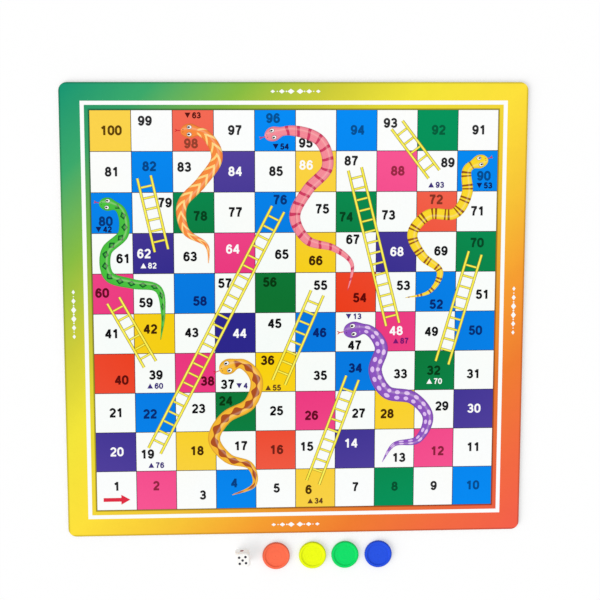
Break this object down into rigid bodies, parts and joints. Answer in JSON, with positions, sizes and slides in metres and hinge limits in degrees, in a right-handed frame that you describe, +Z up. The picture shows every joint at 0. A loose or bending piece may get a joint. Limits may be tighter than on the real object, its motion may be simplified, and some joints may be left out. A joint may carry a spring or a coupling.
{
  "type": "snakes and ladders board",
  "caption": "Square game board that folds in half, with a numbered grid, printed ladders and snakes, round counters and a die in front of it.",
  "frame": {"origin": "centre of the underside of the whole set's box, on the surface that the board and its pieces lie on", "axes": "+X to the right across the board, square to the fold; +Y up the board, away from the first row and the row of pieces; +Z up out of the print"},
  "size_m": [0.3608, 0.3872, 0.012],
  "materials": {
    "greyboard": "matte",
    "backing_paper": "matte",
    "hinge_paper": "matte",
    "white_print": "gloss",
    "squares_blue": "gloss",
    "squares_green": "gloss",
    "squares_pink": "gloss",
    "squares_yellow": "gloss",
    "squares_red": "gloss",
    "squares_purple": "gloss",
    "snake_orange": "gloss",
    "snake_pink": "gloss",
    "snake_green": "gloss",
    "snake_yellow": "gloss",
    "snake_purple": "gloss",
    "snake_amber": "gloss",
    "border_band": "gloss",
    "border_line": "gloss",
    "grid_lines": "gloss",
    "ladders": "gloss",
    "counter_red": "gloss",
    "counter_yellow": "gloss",
    "counter_green": "gloss",
    "counter_blue": "gloss",
    "die_plastic": "gloss",
    "dark_pip_paint": "satin",
    "red_pip_paint": "satin"
  },
  "bodies": {
    "right_half": {"right_backing_sheet": "backing_paper", "right_border_band": "border_band", "right_border_line": "border_line", "right_core": "greyboard", "right_grid_lines": "grid_lines", "right_hinge_leaf": "hinge_paper", "right_ladders": "ladders", "right_print_sheet": "white_print", "right_snake_pink": "snake_pink", "right_snake_purple": "snake_purple", "right_snake_yellow": "snake_yellow", "right_squares_blue": "squares_blue", "right_squares_green": "squares_green", "right_squares_pink": "squares_pink", "right_squares_purple": "squares_purple", "right_squares_red": "squares_red", "right_squares_yellow": "squares_yellow"},
    "left_half": {"left_backing_sheet": "backing_paper", "left_border_band": "border_band", "left_border_line": "border_line", "left_core": "greyboard", "left_grid_lines": "grid_lines", "left_hinge_leaf": "hinge_paper", "left_ladders": "ladders", "left_print_sheet": "white_print", "left_snake_amber": "snake_amber", "left_snake_green": "snake_green", "left_snake_orange": "snake_orange", "left_snake_pink": "snake_pink", "left_squares_blue": "squares_blue", "left_squares_green": "squares_green", "left_squares_pink": "squares_pink", "left_squares_purple": "squares_purple", "left_squares_red": "squares_red", "left_squares_yellow": "squares_yellow"},
    "red_counter": {"counter_red": "counter_red"},
    "yellow_counter": {"counter_yellow": "counter_yellow"},
    "green_counter": {"counter_green": "counter_green"},
    "blue_counter": {"counter_blue": "counter_blue"},
    "die": {"die_body": "die_plastic", "dark_pips": "dark_pip_paint", "red_pip": "red_pip_paint"}
  },
  "joints": [
    {"name": "fold_hinge", "type": "hinge", "parent": "right_half", "child": "left_half", "pos_m": [0, 0, 0.00255], "axis": [0, 1, 0], "range_deg": [0, 180]},
    {"name": "red_counter_lift", "type": "slide", "parent": "right_half", "child": "red_counter", "axis": [0, 0, 1], "range_m": [0, 0.06]},
    {"name": "yellow_counter_lift", "type": "slide", "parent": "right_half", "child": "yellow_counter", "axis": [0, 0, 1], "range_m": [0, 0.06]},
    {"name": "green_counter_lift", "type": "slide", "parent": "right_half", "child": "green_counter", "axis": [0, 0, 1], "range_m": [0, 0.06]},
    {"name": "blue_counter_lift", "type": "slide", "parent": "right_half", "child": "blue_counter", "axis": [0, 0, 1], "range_m": [0, 0.06]},
    {"name": "die_lift", "type": "slide", "parent": "right_half", "child": "die", "axis": [0, 0, 1], "range_m": [0, 0.06]}
  ]
}
